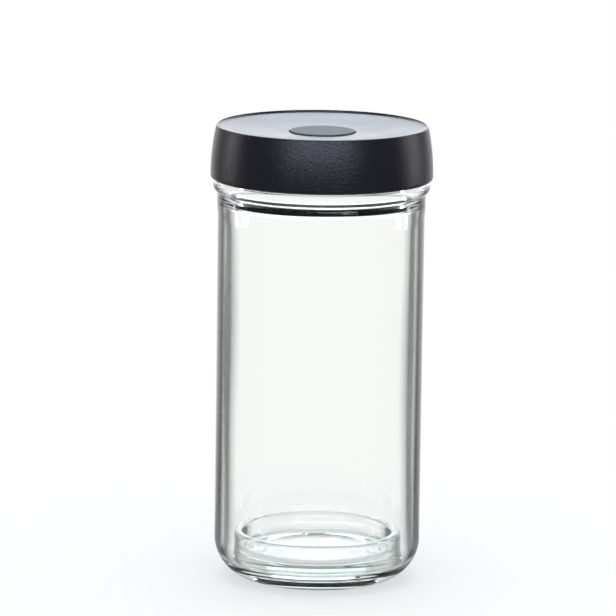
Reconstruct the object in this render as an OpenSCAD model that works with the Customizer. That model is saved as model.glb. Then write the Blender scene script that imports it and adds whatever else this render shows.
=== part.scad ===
// Fermentation jar: a glass jar with a screw lid, a one-way vent valve and a glass weight.
// Millimetres, +Z up, the origin in the middle of the foot that the jar stands on.

/* [Jar] */
// Outer diameter of the glass body
body_d = 105; // [90:1:130]
// Height of the glass from the foot to the rim
jar_h = 223.5; // [150:0.5:280]
// Thickness of the glass wall
glass_wall = 4; // [3:0.25:6]
// Thickness of the glass floor over the foot
floor_t = 8; // [6:0.5:12]
// Radius of the outer heel
heel_r = 21; // [12:1:24]
// Radius of the inner corner between wall and floor
inner_heel_r = 8; // [4:0.5:10]
// Height of the dome pushed up under the floor
push_up = 2.5; // [1:0.25:4]
// Width of the flat ring that the jar stands on
foot_w = 3.5; // [2:0.25:6]
// How much the mouth is narrower than the inside, on the radius
mouth_step = 3; // [1:0.25:5]
// Height over which the inside narrows to the mouth
shoulder_h = 7; // [4:0.5:12]
// How much the shoulder flares out below the bead
flare = 0.4; // [0:0.1:1]

/* [Neck] */
// Thickness of the glass in the neck
neck_wall = 3.6; // [3:0.1:5]
// Height of the neck from the bead to the rim
neck_h = 18; // [15:0.5:26]
// Height of the bead under the lid
bead_h = 6; // [4:0.5:8]
// How far the bead stands out from the body
bead_out = 2.5; // [1:0.25:4]
// Radius of the edges of the rim
rim_edge_r = 0.8; // [0.4:0.1:1.2]

/* [Thread] */
// Number of thread starts
thread_starts = 4; // [3:1:5]
// Rise of the lid in one full turn
thread_lead = 24; // [20:1:30]
// Radial depth of a thread lug
lug_depth = 1.8; // [1.2:0.1:2.2]
// Height of a thread lug at its root
lug_h = 2.4; // [1.6:0.1:2.6]
// Angle that a lug on the neck covers
neck_lug_angle = 50; // [30:1:60]
// Angle that a lug in the lid covers
lid_lug_angle = 36; // [20:1:45]
// Clearance between the threads, on the radius and along the axis
thread_gap = 0.35; // [0.3:0.05:0.6]

/* [Lid] */
// Thickness of the cover's side at its widest
cover_wall = 3.4; // [2.8:0.1:5]
// Thickness of the cover's top
cover_top_t = 3.1; // [1.6:0.1:4]
// Radius of the convex side, seen in section
bulge_r = 120; // [90:5:300]
// Depth of the dish in the cover's top, below its lip
dish_depth = 2.7; // [1:0.1:5]
// Width of the flat ring around the valve in the dish
dish_flat_w = 3; // [2:0.5:8]
// Height of the lip around the dish
lip_h = 0.7; // [0.3:0.1:1.5]
// Width of that lip's slope
lip_w = 1; // [0.5:0.1:2]
// Radius of the cover's upper edge
cover_edge_r = 1; // [0.5:0.25:3]
// Radius of the cover's lower edge
cover_foot_r = 1.5; // [0.75:0.25:2]
// Gap between the lid and the bead
lid_gap = 1; // [0.4:0.1:2]
// Thickness of the liner's skirt
liner_wall = 1.6; // [1.2:0.1:2.5]
// Thickness of the liner's plate
plate_t = 2.2; // [1.6:0.1:3.5]
// Gap between the liner and the cover
liner_fit = 0.2; // [0.1:0.05:0.4]
// Height of the lip that clips under the liner
clip_h = 1; // [0.8:0.1:1.5]
// How far that lip reaches under the liner
clip_in = 0.6; // [0.3:0.1:1]
// Number of keys that turn the liner with the cover
key_count = 6; // [3:1:8]
// Angle that a key covers
key_angle = 6; // [3:1:10]
// How far a key stands out
key_out = 1; // [0.6:0.1:1.2]

/* [Gasket] */
// Thickness of the gasket
gasket_t = 1.5; // [1:0.1:3]
// How far the gasket reaches past the rim on the inside
gasket_in = 0.8; // [0.4:0.1:1.5]
// Clearance around the gasket
gasket_gap = 0.3; // [0.2:0.05:0.5]
// Wall of the rib that centres the gasket
rib_wall = 1.2; // [0.8:0.1:2]
// Height of that rib below the plate
rib_h = 2.5; // [1.5:0.25:4]

/* [Valve] */
// Diameter of the valve cap in the middle of the lid
cap_d = 33; // [28:0.5:40]
// How far the cap stands proud of the dish
cap_proud = 0.6; // [0.4:0.1:2]
// Gap around the cap where the gas comes out
window_gap = 0.5; // [0.3:0.1:1]
// Clearance of the cap, the flap's stem and the seat in their holes
valve_gap = 0.3; // [0.2:0.05:0.4]
// Wall of the seat and of the cap's skirt
valve_wall = 1.5; // [1.2:0.1:2]
// How far the seat's flange laps over the plate
flange_lap = 1.8; // [1:0.1:2.5]
// Thickness of the seat's flange
flange_t = 1; // [0.6:0.1:1.6]
// Height of the collar under the plate
collar_h = 4; // [3.5:0.25:7]
// Wall of that collar
collar_wall = 2; // [1.2:0.1:3]
// Height of the snap rib under the collar
snap_h = 1; // [0.6:0.1:1.6]
// Thickness of the seat's floor
seat_floor_t = 1.5; // [1:0.1:2.5]
// Height of the seal ring
seal_h = 1.5; // [1:0.1:2]
// Depth of the seal's groove
groove_depth = 0.75; // [0.5:0.05:0.9]
// Number of vent ports
port_count = 6; // [4:1:8]
// Diameter of a vent port
port_d = 2.4; // [1.5:0.1:3]
// Radius of the circle of ports
port_circle_r = 6.5; // [6:0.1:7]
// How far the flap covers the ports
flap_lap = 2.3; // [1.5:0.1:2.8]
// Thickness of the flap's edge
flap_edge_t = 0.8; // [0.5:0.1:1.2]
// Height of the flap's dome
flap_h = 1.6; // [1.3:0.1:2]
// Radius of the flap's stem
stem_r = 2; // [1.5:0.1:2.5]
// How far the flap lifts to vent
vent_lift = 0.8; // [0.5:0.1:1.2]
// Depth of the cap's skirt in the seat
skirt_h = 4; // [2.5:0.1:4.5]
// Number of vent notches in the cap
notch_count = 4; // [3:1:6]
// Width of a vent notch
notch_w = 3; // [2:0.25:4]
// Height of a vent notch under the cap
notch_h = 0.8; // [0.5:0.1:1]

/* [Weight] */
// Gap between the weight and the mouth, on the radius
weight_gap = 3; // [1.5:0.25:6]
// Height of the weight
weight_h = 17; // [14:0.5:30]
// Thickness of the weight's wall
weight_wall = 5; // [4:0.25:8]
// Thickness of the weight's floor
weight_floor_t = 7; // [4:0.25:10]
// Radius of the weight's lower edge
weight_edge_r = 3; // [2:0.25:5]

/* [Hidden] */
$fn = 96;
arc_steps = 10;
fuse = 0.5;
snap_gap = 0.2;
snap_out = 0.6;
seal_gap = 0.05;
lug_slope = 0.5;
key_reach = 0.75;
key_gap_angle = 1;
cut_margin = 1;
cap_edge_r = 0.6;
bulb_out = 1;
weight_corner_r = 4;

// Radii of the jar, from the body inwards
body_r = body_d / 2;
inner_r = body_r - glass_wall;
bore_r = inner_r - mouth_step;
neck_r = bore_r + neck_wall;
bead_r = body_r + bead_out;
foot_r = body_r - heel_r;
dome_foot_r = foot_r - foot_w;
dome_r = (dome_foot_r ^ 2 + push_up ^ 2) / (2 * push_up);

// Radii of the lid, from the neck outwards
crest_r = neck_r + lug_depth;
liner_bore_r = crest_r + thread_gap;
liner_r = liner_bore_r + liner_wall;
cover_bore_r = liner_r + liner_fit;
cover_r = cover_bore_r + cover_wall;
lid_crest_r = neck_r + thread_gap;
gasket_r = liner_bore_r - gasket_gap;
gasket_bore_r = bore_r - gasket_in;
rib_r = gasket_bore_r - gasket_gap;

// Heights, from the foot up
bead_top_z = jar_h - neck_h;
bead_z = bead_top_z - bead_h / 2;
bead_foot_z = bead_top_z - bead_h;
plate_z = jar_h + gasket_t;
plate_top_z = plate_z + plate_t;
dish_z = plate_top_z + cover_top_t;
lid_top_z = dish_z + dish_depth + lip_h;
lid_foot_z = bead_top_z + lid_gap;
liner_foot_z = lid_foot_z + clip_h + snap_gap;
bulge_z = lid_foot_z + cover_foot_r;
key_top_z = bead_top_z + neck_h * key_reach;

// The valve, from the cap inwards and from the plate down
cap_r = cap_d / 2;
window_r = cap_r + window_gap;
flange_r = window_r - snap_gap;
hole_r = flange_r - flange_lap;
tube_r = hole_r - valve_gap;
cup_r = tube_r - valve_wall;
skirt_r = cup_r - valve_gap;
flange_z = plate_top_z + flange_t;
cap_top_z = dish_z + cap_proud;
collar_foot_z = plate_z - collar_h;
snap_top_z = collar_foot_z - snap_gap;
seat_foot_z = snap_top_z - snap_h;
seat_z = seat_foot_z + seat_floor_t;
groove_z = plate_z - collar_h / 2 - seal_h / 2;
flap_r = port_circle_r + port_d / 2 + flap_lap;
bulb_r = stem_r + bulb_out;
bulb_h = stem_r;
bulb_top_z = seat_foot_z - vent_lift;

// The dish of the cover: flat around the valve, then an arc up to the lip, and another arc below it
dish_flat_r = window_r + dish_flat_w;
edge_dz = lid_top_z - cover_edge_r - bulge_z;
edge_dx = sqrt((bulge_r - cover_edge_r) ^ 2 - edge_dz ^ 2);
edge_x = cover_r - bulge_r + edge_dx;
edge_angle = atan2(edge_dz, edge_dx);
dish_w = edge_x - lip_w - dish_flat_r;
dish_r = (dish_w ^ 2 + dish_depth ^ 2) / (2 * dish_depth);
dish_angle = asin(dish_w / dish_r);
under_r = dish_r + cover_top_t;
under_angle = asin((cover_bore_r - cover_wall - dish_flat_r) / under_r);

// The thread: lugs tilted along the lead, the lid's lugs under the neck's
lead_angle = atan(thread_lead / (2 * PI * crest_r));
neck_lug_z = (bead_top_z + jar_h) / 2 + lug_h / 2;
lid_lug_z = neck_lug_z - lug_h - thread_gap;

// The weight, on the jar's floor
weight_r = bore_r - weight_gap;
weight_bore_r = weight_r - weight_wall;

// Points along an arc about centre c, from angle a0 to a1
function arc(c, r, a0, a1) =
    [for (i = [0 : arc_steps]) let (a = a0 + (a1 - a0) * i / arc_steps) c + r * [cos(a), sin(a)]];

// A plain ring of rectangular section
module ring(r0, r1, z0, z1) {
    rotate_extrude() translate([r0, z0]) square([r1 - r0, z1 - z0]);
}

// Part of such a ring, centred on angle 0
module ring_part(r0, r1, z0, z1, angle) {
    rotate(-angle / 2) rotate_extrude(angle = angle) translate([r0, z0]) square([r1 - r0, z1 - z0]);
}

// The thread's lugs, one for each start, from the wall at root_r to the crest at tip_r
module lugs(root_r, tip_r, z, angle) {
    inward = sign(root_r - tip_r);
    slope = lug_slope * abs(root_r - tip_r);
    for (i = [0 : thread_starts - 1])
        rotate(i * 360 / thread_starts) translate([0, 0, z]) rotate([lead_angle, 0, 0])
            rotate(-angle / 2) rotate_extrude(angle = angle)
                polygon([[root_r + inward * fuse, -lug_h / 2], [tip_r, -lug_h / 2 + slope],
                         [tip_r, lug_h / 2 - slope], [root_r + inward * fuse, lug_h / 2]]);
}

module jar_glass() {
    outside = concat(
        arc([0, push_up - dome_r], dome_r, 90, atan2(dome_r - push_up, dome_foot_r)),
        arc([foot_r, heel_r], heel_r, -90, 0),
        [[body_r, bead_foot_z - 2 * shoulder_h], [body_r + flare, bead_foot_z - shoulder_h]],
        [[body_r + flare, bead_foot_z]],
        arc([bead_r - bead_h / 2, bead_z], bead_h / 2, -90, 90),
        [[neck_r, bead_top_z]],
        arc([neck_r - rim_edge_r, jar_h - rim_edge_r], rim_edge_r, 0, 90));
    inside = concat(
        arc([bore_r + rim_edge_r, jar_h - rim_edge_r], rim_edge_r, 90, 180),
        [[bore_r, bead_foot_z], [inner_r, bead_foot_z - shoulder_h]],
        arc([inner_r - inner_heel_r, floor_t + inner_heel_r], inner_heel_r, 0, -90),
        [[0, floor_t]]);
    color([0.84, 0.92, 0.91, 0.45]) {
        rotate_extrude() polygon(concat(outside, inside));
        lugs(neck_r, crest_r, neck_lug_z, neck_lug_angle);
    }
}

module glass_weight() {
    outline = concat(
        [[0, 0]],
        arc([weight_r - weight_edge_r, weight_edge_r], weight_edge_r, -90, 0),
        arc([weight_r - weight_wall / 2, weight_h - weight_wall / 2], weight_wall / 2, 0, 180),
        arc([weight_bore_r - weight_corner_r, weight_floor_t + weight_corner_r], weight_corner_r, 0, -90),
        [[0, weight_floor_t]]);
    color([0.80, 0.88, 0.87, 0.6]) translate([0, 0, floor_t]) rotate_extrude() polygon(outline);
}

module lid_cover() {
    outline = concat(
        [[window_r, plate_top_z], [window_r, dish_z]],
        arc([dish_flat_r, dish_z + dish_r], dish_r, -90, -90 + dish_angle),
        arc([edge_x, lid_top_z - cover_edge_r], cover_edge_r, 90, edge_angle),
        arc([cover_r - bulge_r, bulge_z], bulge_r, edge_angle, 0),
        arc([cover_r - cover_foot_r, lid_foot_z + cover_foot_r], cover_foot_r, 0, -90),
        [[liner_r - clip_in, lid_foot_z], [liner_r - clip_in, lid_foot_z + clip_h]],
        [[cover_bore_r, lid_foot_z + clip_h], [cover_bore_r, plate_top_z]],
        arc([dish_flat_r, dish_z + dish_r], under_r, -90 + under_angle, -90));
    color([0.16, 0.16, 0.18]) difference() {
        rotate_extrude() polygon(outline);
        for (i = [0 : key_count - 1])
            rotate(i * 360 / key_count)
                ring_part(cover_bore_r - fuse, liner_r + key_out + liner_fit, liner_foot_z,
                          key_top_z, key_angle + key_gap_angle);
    }
}

module lid_liner() {
    outline = [
        [hole_r, collar_foot_z], [hole_r, plate_top_z], [liner_r, plate_top_z],
        [liner_r, liner_foot_z], [liner_bore_r, liner_foot_z], [liner_bore_r, plate_z],
        [rib_r, plate_z], [rib_r, plate_z - rib_h], [rib_r - rib_wall, plate_z - rib_h],
        [rib_r - rib_wall, plate_z], [hole_r + collar_wall, plate_z], [hole_r + collar_wall, collar_foot_z]];
    color([0.20, 0.20, 0.22]) {
        rotate_extrude() polygon(outline);
        lugs(liner_bore_r, lid_crest_r, lid_lug_z, lid_lug_angle);
        for (i = [0 : key_count - 1])
            rotate(i * 360 / key_count)
                ring_part(liner_r - fuse, liner_r + key_out, liner_foot_z + snap_gap,
                          key_top_z - snap_gap, key_angle);
    }
}

module lid_gasket() {
    color([0.90, 0.90, 0.88]) ring(gasket_bore_r, gasket_r, jar_h, plate_z);
}

module valve_seat() {
    outline = [
        [stem_r + valve_gap, seat_foot_z], [tube_r - snap_out, seat_foot_z],
        [hole_r + snap_out, snap_top_z - snap_h / 2], [hole_r + snap_out, snap_top_z],
        [tube_r, snap_top_z], [tube_r, groove_z], [tube_r - groove_depth, groove_z],
        [tube_r - groove_depth, groove_z + seal_h], [tube_r, groove_z + seal_h],
        [tube_r, plate_top_z], [flange_r, plate_top_z], [flange_r, flange_z],
        [cup_r, flange_z], [cup_r, seat_z], [stem_r + valve_gap, seat_z]];
    color([0.30, 0.30, 0.32]) difference() {
        rotate_extrude() polygon(outline);
        for (i = [0 : port_count - 1])
            rotate(i * 360 / port_count) translate([port_circle_r, 0, seat_foot_z - cut_margin])
                cylinder(d = port_d, h = seat_floor_t + 2 * cut_margin);
    }
}

module seat_seal() {
    color([0.85, 0.85, 0.83])
        ring(tube_r - groove_depth + seal_gap, hole_r - seal_gap, groove_z + seal_gap,
             groove_z + seal_h - seal_gap);
}

module valve_flap() {
    dome_sphere_r = (flap_r ^ 2 + (flap_h - flap_edge_t) ^ 2) / (2 * (flap_h - flap_edge_t));
    outline = concat(
        [[0, bulb_top_z - bulb_h], [stem_r, bulb_top_z - bulb_h], [bulb_r, bulb_top_z]],
        [[stem_r, bulb_top_z], [stem_r, seat_z], [flap_r, seat_z]],
        arc([0, seat_z + flap_h - dome_sphere_r], dome_sphere_r, acos(flap_r / dome_sphere_r), 90));
    color([0.85, 0.84, 0.80]) rotate_extrude() polygon(outline);
}

module valve_cap() {
    outline = concat(
        [[0, flange_z], [skirt_r - valve_wall, flange_z], [skirt_r - valve_wall, flange_z - skirt_h]],
        [[skirt_r, flange_z - skirt_h], [skirt_r, flange_z], [cap_r, flange_z]],
        arc([cap_r - cap_edge_r, cap_top_z - cap_edge_r], cap_edge_r, 0, 90),
        [[0, cap_top_z]]);
    color([0.27, 0.28, 0.30]) difference() {
        rotate_extrude() polygon(outline);
        for (i = [0 : notch_count - 1])
            rotate(i * 360 / notch_count)
                translate([skirt_r - valve_wall - cut_margin, -notch_w / 2, flange_z - skirt_h - cut_margin])
                    cube([cap_r, notch_w, skirt_h + cut_margin + notch_h]);
    }
}

jar_glass();
glass_weight();
lid_cover();
lid_liner();
lid_gasket();
valve_seat();
seat_seal();
valve_flap();
valve_cap();
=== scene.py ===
"""Dresses the fermentation jar: smooth glass, satin lid, silicone valve, and the studio around them."""
import math

import bmesh
import bpy
import numpy as np
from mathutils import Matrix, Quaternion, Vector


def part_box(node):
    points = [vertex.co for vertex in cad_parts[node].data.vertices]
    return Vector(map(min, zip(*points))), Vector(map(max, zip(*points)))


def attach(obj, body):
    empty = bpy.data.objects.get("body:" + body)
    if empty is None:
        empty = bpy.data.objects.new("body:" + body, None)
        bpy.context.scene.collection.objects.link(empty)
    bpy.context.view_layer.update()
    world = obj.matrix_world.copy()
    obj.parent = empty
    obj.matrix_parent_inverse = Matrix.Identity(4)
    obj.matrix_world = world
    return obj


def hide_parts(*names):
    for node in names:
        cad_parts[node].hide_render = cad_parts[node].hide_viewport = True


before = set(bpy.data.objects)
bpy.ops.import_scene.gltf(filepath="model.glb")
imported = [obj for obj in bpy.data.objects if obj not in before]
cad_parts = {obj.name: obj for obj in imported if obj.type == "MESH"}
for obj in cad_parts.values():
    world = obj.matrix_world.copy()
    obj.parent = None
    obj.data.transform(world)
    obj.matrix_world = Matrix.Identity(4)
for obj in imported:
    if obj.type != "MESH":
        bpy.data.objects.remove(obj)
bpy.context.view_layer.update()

MM = 0.001

# Sizes are in millimetres and angles in degrees, unless a comment says otherwise

# Heights and a radius read from the frame
JAR_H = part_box("jar_glass")[1].z / MM
WEIGHT_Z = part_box("glass_weight")[0].z / MM
WEIGHT_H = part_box("glass_weight")[1].z / MM - WEIGHT_Z
LID_FOOT_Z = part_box("lid_cover")[0].z / MM
LID_TOP_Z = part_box("lid_cover")[1].z / MM
CAP_FOOT_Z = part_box("valve_cap")[0].z / MM
CAP_TOP_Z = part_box("valve_cap")[1].z / MM
FLAP_FOOT_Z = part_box("valve_flap")[0].z / MM
FLAP_TOP_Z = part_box("valve_flap")[1].z / MM
FLAP_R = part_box("valve_flap")[1].x / MM

# The jar
BODY_R = 52.5
INNER_R = 48.5
BORE_R = 45.5
NECK_R = 49.1
BEAD_R = 55.0
BEAD_H = 6.0
BEAD_FROM, BEAD_TO = -65, 78
NECK_H = 18.0
HEEL_R = 21.0
INNER_HEEL_R = 8.0
PUSH_UP = 2.5  # rise of the dome inside the foot ring
FOOT_W = 3.5
FLARE = 0.4  # how much wider the body is right under the bead
SHOULDER_H = 7.0
RIM_EDGE_R = 0.8
FILLET_R = 1.2
BEAD_TOP_Z = JAR_H - NECK_H
NECK_FOOT_Z = BEAD_TOP_Z + FILLET_R
NECK_TOP_Z = JAR_H - RIM_EDGE_R
JAR_FLOOR_Z = WEIGHT_Z  # the weight lies on the floor
SEAM_ANGLES = np.radians([-96.5, 83.5])
SEAM_H = 0.14
SEAM_W = 0.55
SEAM_REACH = 1.6  # how far to each side of a seam the columns are close
SEAM_FADE_R = (30, 45)  # radii on the heel between which a seam rises

# The drift of the jar's inner wall: share, waves a turn, height of a radian, and shift in radians
DRIFT_WAVES = ((0.5, 2, 31, 0.4), (0.3, 5, -47, 1.9), (0.2, 9, 23, 4.1))
DRIFT = 0.22
DRIFT_FADE_R = (5, 40)
DRIFT_FADE_Z = (JAR_H - 40, JAR_H - 12)

# The thread's lugs
LUG_STARTS = 4
LUG_LEAD = 24.0
LUG_DEPTH = 1.8
LUG_H = 2.4
LUG_SLOPE = 0.9
LUG_END_ANGLE = 3.0
LUG_ANGLE = 50.0
LUG_Z = JAR_H - NECK_H / 2 + LUG_H / 2
LUG_FOOT_Z = LUG_Z - LUG_H / 2
LUG_TOP_Z = LUG_Z + LUG_H / 2

# The weight
WEIGHT_R = 42.5
WEIGHT_WALL = 5.0
WEIGHT_FLOOR = 7.0
WEIGHT_EDGE_R = 3.0
WEIGHT_CORNER_R = 4.0
WEIGHT_FOOT_W = 7.0
WEIGHT_HOLLOW = 0.5
WEIGHT_HOLLOW_SLOPE = 4.0
CONTACT_GAP = 0.04  # between two faces that would else lie in one plane

# The lid's cover
COVER_R = 56.45
COVER_BORE_R = 53.05
COVER_TOP_T = 3.1
COVER_EDGE_R = 1.0
COVER_FOOT_R = 1.5
BULGE_R = 120.0
CLIP_R = 52.25
CLIP_H = 1.0
COVER_WALL = COVER_R - COVER_BORE_R
DISH_DEPTH = 2.5
DISH_FLAT_R = 20.0
LIP_H = 0.9
LIP_W = 1.4
LIP_TOP_W = LIP_W / 5
WINDOW_R = 17.0
WINDOW_EDGE_R = 0.3
KEY_COUNT = 6
SLOT_ANGLE = 7.0
SLOT_R = 54.05
SLOT_FOOT_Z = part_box("lid_liner")[0].z / MM
SLOT_TOP_Z = JAR_H - NECK_H / 4

# How far apart rows and columns lie where a face steps, in millimetres and as a share of an angle
SHARP = 0.01
SHARP_SHARE = 0.002

# The valve's cap
CAP_R = 16.5
CAP_EDGE_R = 0.6
SKIRT_R = 12.9
SKIRT_WALL = 1.5
SKIRT_H = 4.0
NOTCH_COUNT = 4
NOTCH_W = 3.0
NOTCH_H = 0.8

# The valve's flap
FLAP_H = 1.6
FLAP_EDGE_T = 0.8
FLAP_EDGE_R = 0.3
STEM_R = 2.0
BULB_R = 3.0
BULB_H = 2.0
BULB_TAPER = -20

# Points nearer than this are one point, and edges that turn more than this stay crisp
SAME_POINT = 1e-6
MERGE_DISTANCE = 1e-4
CRISP_ANGLE = 40


def arc(centre, radius, start, end, steps=12):
    """Points (r, z) on a circle about centre, from angle start to angle end in degrees."""
    a = np.radians(np.linspace(start, end, steps + 1))
    return np.column_stack([centre[0] + radius * np.cos(a), centre[1] + radius * np.sin(a)])


def line(start, end, steps=8):
    """Points (r, z) spread evenly from start to end."""
    t = np.linspace(0, 1, steps + 1)[:, None]
    return (1 - t) * np.array(start) + t * np.array(end)


def ease(start, end, steps=12):
    """Points (r, z) whose radius eases from start to end along a half cosine, z evenly spaced."""
    t = np.linspace(0, 1, steps + 1)
    k = (1 - np.cos(np.pi * t)) / 2
    return np.column_stack([start[0] + k * (end[0] - start[0]), start[1] + t * (end[1] - start[1])])


def fillet(start, end, steps=10):
    """Points (r, z) on a quarter ellipse that leaves start level and reaches end upright."""
    t = np.linspace(0, np.pi / 2, steps + 1)
    r = start[0] + np.sin(t) * (end[0] - start[0])
    return np.column_stack([r, start[1] + (1 - np.cos(t)) * (end[1] - start[1])])


def even_turn(count, extra=()):
    """Angles of one full turn, evenly spaced, with extra angles put in where detail needs them."""
    turn = np.linspace(-np.pi, np.pi, count, endpoint=False)
    both = np.concatenate([turn, np.angle(np.exp(1j * np.asarray(extra, float)))])
    return np.unique(np.round(both, 6))


def lathe(name, profile, angles, closed, shape=None):
    """Mesh of a profile (r, z) turned about Z: x = r cos a, y = r sin a, z = z.

    shape may move the grid first: it takes and gives r, z and a as whole arrays. A closed profile is a
    loop off the axis, and an open one starts and ends on the axis, where its rows shrink to poles.
    """
    steps = np.linalg.norm(np.diff(profile, axis=0), axis=1)
    profile = profile[np.concatenate([[True], steps > SAME_POINT])]
    r = np.repeat(profile[:, :1], len(angles), axis=1)
    z = np.repeat(profile[:, 1:2], len(angles), axis=1)
    a = np.repeat(angles[None, :], len(profile), axis=0)
    if shape:
        r, z, a = shape(r, z, a)
    points = np.stack([r * np.cos(a), r * np.sin(a), z], axis=2).reshape(-1, 3) * MM
    rows, columns = len(profile), len(angles)
    i, j = np.meshgrid(np.arange(rows if closed else rows - 1), np.arange(columns), indexing="ij")
    i2, j2 = (i + 1) % rows, (j + 1) % columns
    corners = [i * columns + j, i * columns + j2, i2 * columns + j2, i2 * columns + j]
    faces = np.stack(corners, axis=2).reshape(-1, 4)
    mesh = bpy.data.meshes.new(name)
    mesh.from_pydata(points.tolist(), [], faces.tolist())
    tidy = bmesh.new()
    tidy.from_mesh(mesh)
    bmesh.ops.remove_doubles(tidy, verts=tidy.verts, dist=MERGE_DISTANCE * MM)
    bmesh.ops.recalc_face_normals(tidy, faces=tidy.faces)
    tidy.to_mesh(mesh)
    tidy.free()
    mesh.polygons.foreach_set("use_smooth", np.ones(len(mesh.polygons), bool))
    mesh.set_sharp_from_angle(angle=math.radians(CRISP_ANGLE))
    piece = bpy.data.objects.new(name, mesh)
    bpy.context.scene.collection.objects.link(piece)
    return piece


def ramp(x, low, high):
    """0 below low, 1 above high, straight between."""
    return np.clip((x - low) / (high - low), 0, 1)


def soft(t):
    """Eases 0 to 1 with level ends: 3 t squared less 2 t cubed."""
    return t * t * (3 - 2 * t)


def from_middle(a, count):
    """Angle from the middle of the nearest of count equal sectors of the turn."""
    step = 2 * np.pi / count
    return (a + step / 2) % step - step / 2


def neck_thread(z, a):
    """The thread on the neck's rows: how far each lug stands out, from 0 to 1, and the height moved.

    A lug is a rounded band of rows that ends in short slopes. The rows climb with the thread's lead along
    each lug and sink back between lugs, and the climb fades out towards the neck's foot and top.
    """
    half = math.radians(LUG_ANGLE / 2)
    end = math.radians(LUG_END_ANGLE)
    s = from_middle(a, LUG_STARTS)
    across = soft(1 - ramp(np.abs(z - LUG_Z), LUG_H / 2 - LUG_SLOPE, LUG_H / 2))
    along = soft(1 - ramp(np.abs(s), half - end, half))
    climb = s * (1 - ramp(np.abs(s), half, np.pi / LUG_STARTS)) * LUG_LEAD / (2 * np.pi)
    fade = ramp(z, NECK_FOOT_Z, LUG_FOOT_Z) * (1 - ramp(z, LUG_TOP_Z, NECK_TOP_Z))
    return across * along, climb * fade


def jar_shape(r, z, a):
    """The blown jar: seams stand out on the outside, lugs on the neck, and the wall's thickness drifts.

    Each seam is a bell curve across the angle, and the drift is a sum of three slow sines of angle and
    height on the inner wall, which vanishes at the floor's middle and at the rim.
    """
    row_r = r[:, :1]
    row_z = z[:, :1]
    outside = (np.arange(len(row_z)) <= np.argmax(row_z[:, 0]))[:, None]
    inside = ~outside
    seam = np.zeros_like(r)
    for at in SEAM_ANGLES:
        d = np.angle(np.exp(1j * (a - at))) * BODY_R
        seam += SEAM_H * np.exp(-(d / SEAM_W) ** 2)
    r = r + outside * seam * ramp(row_r, *SEAM_FADE_R)
    lug, climb = neck_thread(z, a)
    on_neck = outside & (row_z > NECK_FOOT_Z) & (row_z < NECK_TOP_Z)
    r = r + on_neck * LUG_DEPTH * lug
    drift = sum(k * np.sin(n * a + z / h + shift) for k, n, h, shift in DRIFT_WAVES)
    fade = ramp(row_r, *DRIFT_FADE_R) * (1 - ramp(row_z, *DRIFT_FADE_Z))
    r = r + inside * fade * DRIFT * drift
    return r, z + on_neck * climb, a


def make_jar():
    """The jar in one skin: up the outside from the foot's dome to the rim, and down the inside."""
    bead_foot = BEAD_TOP_Z - BEAD_H
    shoulder_z = bead_foot - SHOULDER_H
    flare_z = bead_foot - 2 * SHOULDER_H
    foot_r = BODY_R - HEEL_R
    dome_edge = foot_r - FOOT_W
    dome_r = (dome_edge ** 2 + PUSH_UP ** 2) / (2 * PUSH_UP)
    dome_end = math.degrees(math.atan2(dome_r - PUSH_UP, dome_edge))
    shoulder_r = BODY_R + FLARE
    bead_c = (BEAD_R - BEAD_H / 2, BEAD_TOP_Z - BEAD_H / 2)
    corner_r = INNER_R - INNER_HEEL_R
    corner_z = JAR_FLOOR_Z + INNER_HEEL_R
    profile = np.vstack([
        arc((0, PUSH_UP - dome_r), dome_r, 90, dome_end, 14),
        arc((foot_r, HEEL_R), HEEL_R, -90, 0, 24),
        line((BODY_R, HEEL_R), (BODY_R, flare_z), 30),
        ease((BODY_R, flare_z), (shoulder_r, shoulder_z), 8),
        line((shoulder_r, shoulder_z), (shoulder_r, bead_foot - FILLET_R), 4),
        arc(bead_c, BEAD_H / 2, BEAD_FROM, BEAD_TO, 18),
        arc((NECK_R + FILLET_R, NECK_FOOT_Z), FILLET_R, -90, -180, 4),
        line((NECK_R, NECK_FOOT_Z), (NECK_R, LUG_FOOT_Z), 8),
        line((NECK_R, LUG_FOOT_Z), (NECK_R, LUG_TOP_Z), 16),
        line((NECK_R, LUG_TOP_Z), (NECK_R, NECK_TOP_Z), 6),
        arc((NECK_R - RIM_EDGE_R, NECK_TOP_Z), RIM_EDGE_R, 0, 90, 5),
        arc((BORE_R + RIM_EDGE_R, NECK_TOP_Z), RIM_EDGE_R, 90, 180, 5),
        line((BORE_R, NECK_TOP_Z), (BORE_R, bead_foot), 8),
        ease((BORE_R, bead_foot), (INNER_R, shoulder_z), 10),
        line((INNER_R, shoulder_z), (INNER_R, corner_z), 40),
        arc((corner_r, corner_z), INNER_HEEL_R, 0, -90, 14),
        line((corner_r, JAR_FLOOR_Z), (0, JAR_FLOOR_Z), 8)])
    near_seam = np.linspace(-SEAM_REACH, SEAM_REACH, 15) / BODY_R
    near_end = np.radians(np.linspace(LUG_ANGLE / 2 - LUG_END_ANGLE, LUG_ANGLE / 2, 5))
    lugs = np.arange(LUG_STARTS) * 2 * np.pi / LUG_STARTS
    at_seams = (SEAM_ANGLES[:, None] + near_seam[None, :]).ravel()
    at_ends = (lugs[:, None] + np.concatenate([near_end, -near_end])[None, :]).ravel()
    angles = even_turn(300, np.concatenate([at_seams, at_ends]))
    return lathe("jar_body", profile, angles, False, jar_shape)


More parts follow.
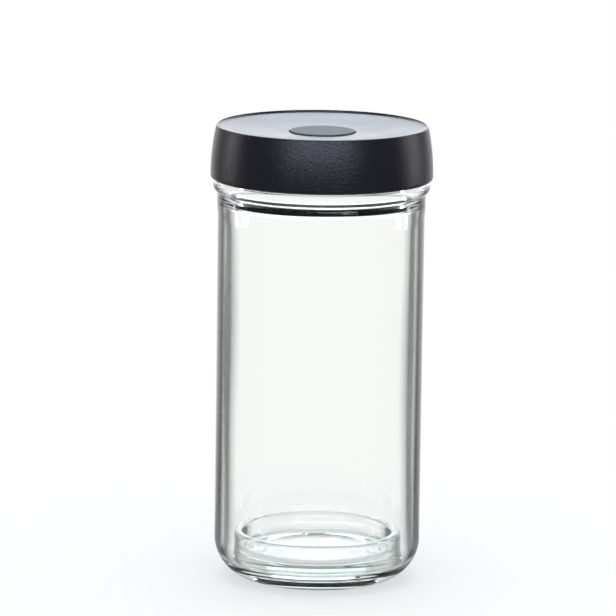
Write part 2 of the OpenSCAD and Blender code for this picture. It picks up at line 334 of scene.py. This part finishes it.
def make_weight():
    """The weight: a thick pressed dish with a round rim and a hollow foot.

    The foot stays a hair off the jar's floor, because two glass faces in one plane render black.
    """
    top = WEIGHT_Z + WEIGHT_H
    foot = WEIGHT_Z + CONTACT_GAP
    wall_c = WEIGHT_R - WEIGHT_WALL / 2
    bore = WEIGHT_R - WEIGHT_WALL
    foot_r = WEIGHT_R - WEIGHT_EDGE_R - WEIGHT_FOOT_W
    hollow_r = foot_r - WEIGHT_HOLLOW_SLOPE
    floor = WEIGHT_Z + WEIGHT_FLOOR
    corner_r = bore - WEIGHT_CORNER_R
    profile = np.vstack([
        line((0, foot + WEIGHT_HOLLOW), (hollow_r, foot + WEIGHT_HOLLOW), 8),
        ease((hollow_r, foot + WEIGHT_HOLLOW), (foot_r, foot), 6),
        arc((WEIGHT_R - WEIGHT_EDGE_R, foot + WEIGHT_EDGE_R), WEIGHT_EDGE_R, -90, 0, 10),
        line((WEIGHT_R, WEIGHT_Z + WEIGHT_EDGE_R), (WEIGHT_R, top - WEIGHT_WALL / 2), 8),
        arc((wall_c, top - WEIGHT_WALL / 2), WEIGHT_WALL / 2, 0, 180, 18),
        arc((corner_r, floor + WEIGHT_CORNER_R), WEIGHT_CORNER_R, 0, -90, 10),
        line((corner_r, floor), (0, floor), 10)])
    return lathe("pressed_weight", profile, even_turn(240), False)


def cover_shape(r, z, a):
    """Slots for the liner's keys: within a slot's sides, foot and top the bore steps out."""
    s = from_middle(a, KEY_COUNT)
    in_slot = (np.abs(s) < math.radians(SLOT_ANGLE / 2)) & (np.abs(r - COVER_BORE_R) < SHARP)
    in_slot &= (z > SLOT_FOOT_Z + SHARP / 2) & (z < SLOT_TOP_Z - SHARP / 2)
    return np.where(in_slot, SLOT_R, r), z, a


def make_cover():
    """The cover: a shallow dish inside a small raised lip, a convex side, and a clip under the liner."""
    dish_z = LID_TOP_Z - LIP_H - DISH_DEPTH
    bulge_z = LID_FOOT_Z + COVER_FOOT_R
    edge_z = LID_TOP_Z - COVER_EDGE_R
    edge_x = COVER_R - BULGE_R + math.sqrt((BULGE_R - COVER_EDGE_R) ** 2 - (edge_z - bulge_z) ** 2)
    edge_a = math.degrees(math.asin((edge_z - bulge_z) / (BULGE_R - COVER_EDGE_R)))
    dish_w = edge_x - LIP_W - DISH_FLAT_R
    dish_r = (dish_w ** 2 + DISH_DEPTH ** 2) / (2 * DISH_DEPTH)
    dish_a = math.degrees(math.asin(dish_w / dish_r))
    under_r = dish_r + COVER_TOP_T
    under_a = math.degrees(math.asin((COVER_BORE_R - COVER_WALL - DISH_FLAT_R) / under_r))
    dish_c = (DISH_FLAT_R, dish_z + dish_r)
    under_z = dish_z - COVER_TOP_T
    window_c = (WINDOW_R + WINDOW_EDGE_R, dish_z - WINDOW_EDGE_R)
    clip_z = LID_FOOT_Z + CLIP_H
    profile = np.vstack([
        line((WINDOW_R, under_z), (WINDOW_R, window_c[1]), 3),
        arc(window_c, WINDOW_EDGE_R, 180, 90, 4),
        line((window_c[0], dish_z), (DISH_FLAT_R, dish_z), 3),
        arc(dish_c, dish_r, -90, -90 + dish_a, 30),
        fillet((edge_x - LIP_W, LID_TOP_Z - LIP_H), (edge_x - LIP_TOP_W, LID_TOP_Z)),
        arc((edge_x, edge_z), COVER_EDGE_R, 90, edge_a, 12),
        arc((COVER_R - BULGE_R, bulge_z), BULGE_R, edge_a, 0, 30),
        arc((COVER_R - COVER_FOOT_R, bulge_z), COVER_FOOT_R, 0, -90, 10),
        line((CLIP_R, LID_FOOT_Z), (CLIP_R, clip_z), 2),
        line((CLIP_R, clip_z), (COVER_BORE_R, clip_z), 2),
        line((COVER_BORE_R, clip_z), (COVER_BORE_R, SLOT_FOOT_Z), 1),
        line((COVER_BORE_R, SLOT_FOOT_Z + SHARP), (COVER_BORE_R, SLOT_TOP_Z - SHARP), 4),
        line((COVER_BORE_R, SLOT_TOP_Z), (COVER_BORE_R, under_z), 3),
        arc(dish_c, under_r, -90 + under_a, -90, 10),
        line((DISH_FLAT_R, under_z), (WINDOW_R, under_z), 3)])
    middles = np.arange(KEY_COUNT) * 2 * np.pi / KEY_COUNT
    beside = np.radians(SLOT_ANGLE / 2) * np.array([1 - SHARP_SHARE, 1 + SHARP_SHARE])
    extra = (middles[:, None] + np.concatenate([beside, -beside])[None, :]).ravel()
    return lathe("satin_cover", profile, even_turn(256, extra), True, cover_shape)


def cap_shape(r, z, a):
    """Vent notches: where the angle lies in a notch, the skirt is lifted to the notch's roof."""
    s = from_middle(a, NOTCH_COUNT)
    roof = CAP_FOOT_Z + SKIRT_H + NOTCH_H
    in_notch = (np.abs(s) * SKIRT_R < NOTCH_W / 2) & (r > SKIRT_R - SKIRT_WALL - SHARP)
    return r, np.where(in_notch, np.maximum(z, roof), z), a


def make_cap():
    """The valve's cap: a flat disc with a soft edge over a plug skirt that has vent notches."""
    flange_z = CAP_FOOT_Z + SKIRT_H
    bore = SKIRT_R - SKIRT_WALL
    profile = np.vstack([
        line((0, flange_z), (bore, flange_z), 5),
        line((bore, flange_z), (bore, CAP_FOOT_Z), 5),
        line((SKIRT_R, CAP_FOOT_Z), (SKIRT_R, flange_z), 5),
        line((SKIRT_R, flange_z), (CAP_R, flange_z), 4),
        arc((CAP_R - CAP_EDGE_R, CAP_TOP_Z - CAP_EDGE_R), CAP_EDGE_R, 0, 90, 8),
        line((CAP_R - CAP_EDGE_R, CAP_TOP_Z), (0, CAP_TOP_Z), 8)])
    return lathe("valve_button", profile, even_turn(192), False, cap_shape)


def make_flap():
    """The umbrella flap: a shallow dome with a soft edge, on a stem that ends in a bulb."""
    seat_z = FLAP_TOP_Z - FLAP_H
    bulb_z = FLAP_FOOT_Z + BULB_H
    edge_r = FLAP_R - FLAP_EDGE_R
    rise = FLAP_H - FLAP_EDGE_T
    dome_r = (edge_r ** 2 + rise ** 2) / (2 * rise)
    dome_a = math.degrees(math.acos(edge_r / dome_r))
    profile = np.vstack([
        line((0, FLAP_FOOT_Z), (STEM_R - FLAP_EDGE_R, FLAP_FOOT_Z), 4),
        arc((STEM_R - FLAP_EDGE_R, FLAP_FOOT_Z + FLAP_EDGE_R), FLAP_EDGE_R, -90, BULB_TAPER, 4),
        arc((BULB_R - FLAP_EDGE_R, bulb_z - FLAP_EDGE_R), FLAP_EDGE_R, BULB_TAPER, 90, 6),
        line((STEM_R, bulb_z), (STEM_R, seat_z), 4),
        line((STEM_R, seat_z), (edge_r, seat_z), 6),
        arc((edge_r, seat_z + FLAP_EDGE_R), FLAP_EDGE_R, -90, 0, 5),
        arc((edge_r, seat_z + FLAP_EDGE_T - FLAP_EDGE_R), FLAP_EDGE_R, 0, 90, 5),
        arc((0, FLAP_TOP_Z - dome_r), dome_r, dome_a, 90, 12)])
    return lathe("umbrella_flap", profile, even_turn(144), False)


def linear(hex_colour):
    """Linear RGBA of an sRGB hex colour such as 2A2A2E."""
    s = np.array([int(hex_colour[k:k + 2], 16) for k in (0, 2, 4)]) / 255
    rgb = np.where(s <= 0.04045, s / 12.92, ((s + 0.055) / 1.055) ** 2.4)
    return (*rgb.tolist(), 1.0)


def add(tree, kind, links=(), **settings):
    """Adds a node: settings name its inputs or else its properties, and links feed its inputs."""
    node = tree.nodes.new(kind)
    for key, value in settings.items():
        match = [i for i in node.inputs if i.enabled and i.name.lower().replace(" ", "_") == key]
        if match:
            match[0].default_value = value
        else:
            setattr(node, key, value)
    for key, source in dict(links).items():
        tree.links.new(source, node.inputs[key])
    return node


def new_material(name):
    """An empty node material and its output node."""
    material = bpy.data.materials.new(name)
    material.use_nodes = True
    material.node_tree.nodes.clear()
    return material, material.node_tree, material.node_tree.nodes.new("ShaderNodeOutputMaterial")


# Sizes of the finishes: depth of ripple and grain, width of shiny patches, and the mottle
RIPPLE_DEPTH = 0.2
GRAIN_DEPTH = 0.2
PATCH_W = 22
MOTTLE_W = 1.5
MOTTLE_DEPTH = 0.05


def soda_lime_glass(name, ripple_mm, ripple, density):
    """Clear soda-lime glass from a mould: polished by fire, with a faint ripple that bends reflections.

    Along the outline of its upright walls the base colour is painted a dark grey green: partly the real
    tint of a long path through the glass, partly painted shade for the dark room that those edges bend
    into view.
    """
    material, tree, out = new_material(name)
    place = add(tree, "ShaderNodeTexCoord")
    noise = add(tree, "ShaderNodeTexNoise", {"Vector": place.outputs["Object"]},
                scale=1 / (ripple_mm * MM), detail=1.0, roughness=0.4)
    bump = add(tree, "ShaderNodeBump", {"Height": noise.outputs["Fac"]},
               strength=ripple, distance=RIPPLE_DEPTH * MM)
    # Painted shade: the nodes below darken the base colour of upright walls towards grazing angles,
    # standing in for the dark room seen through the glass edges
    rim = add(tree, "ShaderNodeLayerWeight", blend=0.5)
    painted_edge_ramp = add(tree, "ShaderNodeMapRange", {"Value": rim.outputs["Facing"]},
               from_min=0.48, from_max=0.68, to_min=0.0, to_max=1.0)
    slant = add(tree, "ShaderNodeSeparateXYZ", {0: place.outputs["Normal"]})
    steep = add(tree, "ShaderNodeMath", {0: slant.outputs["Z"]}, operation="ABSOLUTE")
    upright = add(tree, "ShaderNodeMapRange", {"Value": steep.outputs[0]},
                  from_min=0.3, from_max=0.7, to_min=1.0, to_max=0.0)
    depth = add(tree, "ShaderNodeMath", {0: painted_edge_ramp.outputs["Result"], 1: upright.outputs["Result"]},
                operation="MULTIPLY")
    painted_edge_shade = add(tree, "ShaderNodeMix", {"Factor": depth.outputs[0]},
               data_type="RGBA", a=linear("FEFFFE"), b=linear("242A29"))
    glass = add(tree, "ShaderNodeBsdfPrincipled",
                {"Normal": bump.outputs["Normal"], "Base Color": painted_edge_shade.outputs[2]},
                roughness=0.0, ior=1.52, transmission_weight=1.0)
    tint = add(tree, "ShaderNodeVolumeAbsorption", color=linear("CCD6D2"), density=density)
    tree.links.new(glass.outputs["BSDF"], out.inputs["Surface"])
    tree.links.new(tint.outputs["Volume"], out.inputs["Volume"])
    return material


def moulded_plastic(name, colour, rough, grain_mm, grain):
    """Moulded polypropylene with a spark-eroded skin: a satin sheen broken by a fine even grain.

    Faces that look up came off a smoother part of the mould and have less grain. The real grain is
    about a tenth of a millimetre, and it is drawn coarser so that it shows. Broad patches shine a
    little more or less.
    """
    material, tree, out = new_material(name)
    place = add(tree, "ShaderNodeTexCoord")
    fine = add(tree, "ShaderNodeTexNoise", {"Vector": place.outputs["Object"]},
               scale=1 / (grain_mm * MM), detail=3.0, roughness=0.6)
    broad = add(tree, "ShaderNodeTexNoise", {"Vector": place.outputs["Object"]},
                scale=1 / (PATCH_W * MM), detail=2.0, roughness=0.5)
    spread = add(tree, "ShaderNodeMapRange", {"Value": broad.outputs["Fac"]},
                 from_min=0.3, from_max=0.7, to_min=rough - 0.03, to_max=rough + 0.03)
    facing = add(tree, "ShaderNodeSeparateXYZ", {0: place.outputs["Normal"]})
    depth = add(tree, "ShaderNodeMapRange", {"Value": facing.outputs["Z"]},
                from_min=0.4, from_max=0.8, to_min=grain, to_max=0.08 * grain)
    bump = add(tree, "ShaderNodeBump",
               {"Height": fine.outputs["Fac"], "Strength": depth.outputs["Result"]},
               distance=GRAIN_DEPTH * MM)
    plastic = add(tree, "ShaderNodeBsdfPrincipled",
                  {"Normal": bump.outputs["Normal"], "Roughness": spread.outputs["Result"]},
                  base_color=linear(colour), ior=1.49)
    tree.links.new(plastic.outputs["BSDF"], out.inputs["Surface"])
    return material


def silicone(name, colour, rough, glow=0.0):
    """Cured silicone rubber: matte, a little milky at thin edges, with a dusty mottle."""
    material, tree, out = new_material(name)
    place = add(tree, "ShaderNodeTexCoord")
    mottle = add(tree, "ShaderNodeTexNoise", {"Vector": place.outputs["Object"]},
                 scale=1 / (MOTTLE_W * MM), detail=4.0, roughness=0.65)
    spread = add(tree, "ShaderNodeMapRange", {"Value": mottle.outputs["Fac"]},
                 from_min=0.3, from_max=0.7, to_min=rough - 0.05, to_max=rough + 0.05)
    bump = add(tree, "ShaderNodeBump", {"Height": mottle.outputs["Fac"]},
               strength=0.15, distance=MOTTLE_DEPTH * MM)
    rubber = add(tree, "ShaderNodeBsdfPrincipled",
                 {"Normal": bump.outputs["Normal"], "Roughness": spread.outputs["Result"]},
                 base_color=linear(colour), ior=1.41, subsurface_weight=glow)
    tree.links.new(rubber.outputs["BSDF"], out.inputs["Surface"])
    return material


def dress(piece, material, body, slot, *nodes):
    """Gives a new piece its material and body, and lets it stand for its CAD nodes; slot is not used."""
    piece.data.materials.clear()
    piece.data.materials.append(material)
    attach(piece, body)
    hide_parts(*nodes)


def coat(node, material):
    """Puts a material on a CAD node that keeps its own shape."""
    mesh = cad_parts[node].data
    mesh.materials.clear()
    mesh.materials.append(material)


clear_glass = soda_lime_glass("blown_soda_lime_glass", ripple_mm=14, ripple=0.05, density=5)
weight_glass = soda_lime_glass("pressed_soda_lime_glass", ripple_mm=9, ripple=0.06, density=14)
cover_plastic = moulded_plastic("satin_anthracite_polypropylene", "1C1B23",
                                rough=0.22, grain_mm=1.0, grain=1.0)
liner_plastic = moulded_plastic("moulded_black_polypropylene", "2B2B2F",
                                rough=0.43, grain_mm=0.8, grain=0.15)
cap_silicone = silicone("matte_grey_silicone", "3B4349", rough=0.5)
white_silicone = silicone("milky_white_silicone", "D8D8D2", rough=0.45, glow=0.2)

dress(make_jar(), clear_glass, "jar", "jar_glass", "jar_glass")
dress(make_weight(), weight_glass, "weight", "glass_weight", "glass_weight")
dress(make_cover(), cover_plastic, "lid", "lid_cover", "lid_cover")
dress(make_cap(), cap_silicone, "cap", "valve_cap", "valve_cap")
dress(make_flap(), white_silicone, "flap", "valve_flap", "valve_flap")
coat("lid_liner", liner_plastic)
coat("valve_seat", liner_plastic)
coat("lid_gasket", white_silicone)
coat("seat_seal", white_silicone)


# The studio, in metres and radians, with the photograph's lens in pixels
CAMERA_DISTANCE = 2.5436
CAMERA_HEIGHT = 0.6089
CAMERA_PITCH = 0.18254
CAMERA_ROLL = 0.0136
CAMERA_REACH = 50
FOCAL_PX = 5080.9
OFF_CENTRE_PX = 12.2
FRAME_PX = 616
SENSOR_MM = 36.0
FLOOR_R = 0.9
FLOOR_SIDES = 96

# To gloss the room is white within a cone behind the object, and dim elsewhere: the cosines of the
# cone's soft edge, and the two strengths
BEHIND = dict(from_min=0.7, from_max=0.97, to_min=0.08, to_max=1.0)

# The soft boxes: name, place, point looked at, width and height, watts and colour
LAMPS = (
    ("back_low_box", (0, 1.6, 0.48), (0, 0, 0.23), (1.5, 0.6), 2.8, "E6F2FF"),
    ("back_high_box", (0, 1.4, 1.15), (0, 0, 0.23), (1.5, 0.85), 9.2, "E6F2FF"),
    ("front_box", (-0.1, -2.0, 0.82), (0, 0, 0.2), (3.0, 0.36), 19.5, "E4F0FF"),
    ("top_box", (0, -0.2, 1.6), (0, 0, 0.1), (1.2, 1.2), 10, "FFFFFF"),
    ("strip_left", (-0.95, 0.35, 0.4), (0, 0, 0.12), (0.12, 0.8), 1.2, "FFFFFF"),
    ("strip_right", (0.95, 0.35, 0.4), (0, 0, 0.12), (0.12, 0.8), 1.6, "FFFFFF"))


def paper_material():
    """White paper: lit as plain paper, and shown white to the eye, to glass and to gloss.

    Near the object part of what shows is the lit paper, so that the shadow stays. To gloss it is white
    behind the object and dim elsewhere, as the room is.
    """
    material, tree, out = new_material("white_paper")
    path = add(tree, "ShaderNodeLightPath").outputs
    clear = add(tree, "ShaderNodeMath", {0: path["Is Camera Ray"], 1: path["Is Transmission Ray"]},
                operation="MAXIMUM")
    seen = add(tree, "ShaderNodeMath", {0: clear.outputs[0], 1: path["Is Glossy Ray"]},
               operation="MAXIMUM")
    place = add(tree, "ShaderNodeTexCoord")
    away = add(tree, "ShaderNodeVectorMath", {0: place.outputs["Object"]}, operation="LENGTH")
    share = add(tree, "ShaderNodeMapRange", {"Value": away.outputs["Value"]},
                from_min=0.06, from_max=0.28, to_min=0.6, to_max=1.0)
    axes = add(tree, "ShaderNodeSeparateXYZ", {0: place.outputs["Object"]})
    course = add(tree, "ShaderNodeMath", {0: axes.outputs["Y"], 1: away.outputs["Value"]},
                 operation="DIVIDE")
    behind = add(tree, "ShaderNodeMapRange", {"Value": course.outputs[0]}, **BEHIND)
    part = add(tree, "ShaderNodeMath", {0: seen.outputs[0], 1: share.outputs["Result"]},
               operation="MULTIPLY")
    glow = add(tree, "ShaderNodeMath", {0: clear.outputs[0], 1: behind.outputs["Result"]},
               operation="MAXIMUM")
    paper = add(tree, "ShaderNodeBsdfDiffuse", color=linear("F4F4F4"))
    white = add(tree, "ShaderNodeEmission", {"Strength": glow.outputs[0]}, color=linear("FFFFFF"))
    mix = add(tree, "ShaderNodeMixShader", {0: part.outputs[0], 1: paper.outputs[0], 2: white.outputs[0]})
    tree.links.new(mix.outputs[0], out.inputs["Surface"])
    return material


def make_floor():
    """The floor: one round face of paper on a circle of corners, a hair below the object's foot."""
    a = np.linspace(0, 2 * np.pi, FLOOR_SIDES, endpoint=False)
    height = np.full(FLOOR_SIDES, -CONTACT_GAP * MM)
    corners = np.column_stack([FLOOR_R * np.cos(a), FLOOR_R * np.sin(a), height])
    mesh = bpy.data.meshes.new("floor")
    mesh.from_pydata(corners.tolist(), [], [tuple(range(FLOOR_SIDES))])
    mesh.materials.append(paper_material())
    floor = bpy.data.objects.new("floor", mesh)
    bpy.context.scene.collection.objects.link(floor)


def make_lamp(name, at, target, size, power, colour):
    """A soft box: a rectangular lamp that looks at a point."""
    light = bpy.data.lights.new(name, "AREA")
    light.shape = "RECTANGLE"
    light.size, light.size_y = size
    light.energy = power
    light.color = linear(colour)[:3]
    lamp = bpy.data.objects.new(name, light)
    bpy.context.scene.collection.objects.link(lamp)
    x, y, z = np.array(target) - np.array(at)
    lamp.location = at
    lamp.rotation_euler = (math.atan2(math.hypot(x, y), -z), 0, math.atan2(y, x) - math.pi / 2)
    lamp.visible_camera = False


def make_world():
    """The room: white to the eye, to glass white all round under a dim ceiling, to gloss white behind."""
    world = bpy.data.worlds.new("studio")
    bpy.context.scene.world = world
    world.use_nodes = True
    tree = world.node_tree
    tree.nodes.clear()
    out = tree.nodes.new("ShaderNodeOutputWorld")
    path = add(tree, "ShaderNodeLightPath").outputs
    place = add(tree, "ShaderNodeTexCoord")
    axes = add(tree, "ShaderNodeSeparateXYZ", {0: place.outputs["Generated"]})
    around = add(tree, "ShaderNodeMapRange", {"Value": axes.outputs["Z"]},
                 from_min=0.35, from_max=0.7, to_min=1.0, to_max=0.05)
    walls = add(tree, "ShaderNodeMath", {0: path["Is Transmission Ray"], 1: around.outputs["Result"]},
                operation="MULTIPLY")
    clear = add(tree, "ShaderNodeMath", {0: path["Is Camera Ray"], 1: walls.outputs[0]},
                operation="MAXIMUM")
    mirror = add(tree, "ShaderNodeMath", {0: path["Is Transmission Ray"], 1: path["Is Glossy Ray"]},
                 operation="MAXIMUM")
    seen = add(tree, "ShaderNodeMath", {0: path["Is Camera Ray"], 1: mirror.outputs[0]},
               operation="MAXIMUM")
    behind = add(tree, "ShaderNodeMapRange", {"Value": axes.outputs["Y"]}, **BEHIND)
    glow = add(tree, "ShaderNodeMath", {0: clear.outputs[0], 1: behind.outputs["Result"]},
               operation="MAXIMUM")
    fill = add(tree, "ShaderNodeBackground", color=linear("FFFFFF"), strength=0.45)
    white = add(tree, "ShaderNodeBackground", {"Strength": glow.outputs[0]}, color=linear("FFFFFF"))
    mix = add(tree, "ShaderNodeMixShader", {0: seen.outputs[0], 1: fill.outputs[0], 2: white.outputs[0]})
    tree.links.new(mix.outputs[0], out.inputs["Surface"])


def make_camera():
    """The photograph's camera: in front, a little above, with a long lens and a slight roll."""
    data = bpy.data.cameras.new("camera")
    data.sensor_width = SENSOR_MM
    data.lens = FOCAL_PX / FRAME_PX * SENSOR_MM
    data.clip_end = CAMERA_REACH
    camera = bpy.data.objects.new("camera", data)
    bpy.context.scene.collection.objects.link(camera)
    camera.location = (0, -CAMERA_DISTANCE, CAMERA_HEIGHT)
    camera.rotation_mode = "QUATERNION"
    yaw = Quaternion((0, 0, 1), OFF_CENTRE_PX / FOCAL_PX)
    pitch = Quaternion((1, 0, 0), math.pi / 2 - CAMERA_PITCH)
    camera.rotation_quaternion = yaw @ pitch @ Quaternion((0, 0, 1), CAMERA_ROLL)
    bpy.context.scene.camera = camera


make_camera()
make_world()
make_floor()
for lamp in LAMPS:
    make_lamp(*lamp)
bpy.context.scene.view_settings.view_transform = "Standard"

# Thick glass mirrors light inside itself many times, so its paths may be long
paths = bpy.context.scene.cycles
paths.max_bounces = 32
paths.glossy_bounces = 16
paths.transmission_bounces = 24
